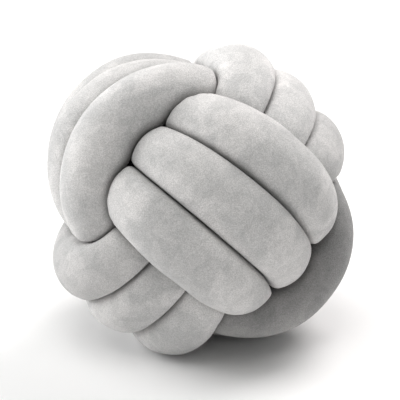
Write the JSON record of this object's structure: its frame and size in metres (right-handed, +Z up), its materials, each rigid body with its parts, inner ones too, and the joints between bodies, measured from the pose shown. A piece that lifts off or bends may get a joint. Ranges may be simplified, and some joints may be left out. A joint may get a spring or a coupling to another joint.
{
  "type": "knot cushion",
  "caption": "Decorative ball cushion tied from one fat stuffed velvet tube in a monkey's-fist weave, with short plump strands crossing on every side and a flattened underside.",
  "frame": {"origin": "on the surface that the cushion rests on, at the centre of its bounding box seen from above", "axes": "+Z up; -Y towards the viewer of the front face of the knot, whose strands slope down to the viewer's right; +X to that viewer's right"},
  "size_m": [0.2953, 0.3154, 0.2882],
  "materials": {
    "velvet": "short-pile light grey velvet"
  },
  "bodies": {
    "root": {"knot_tube": "velvet"}
  },
  "joints": []
}
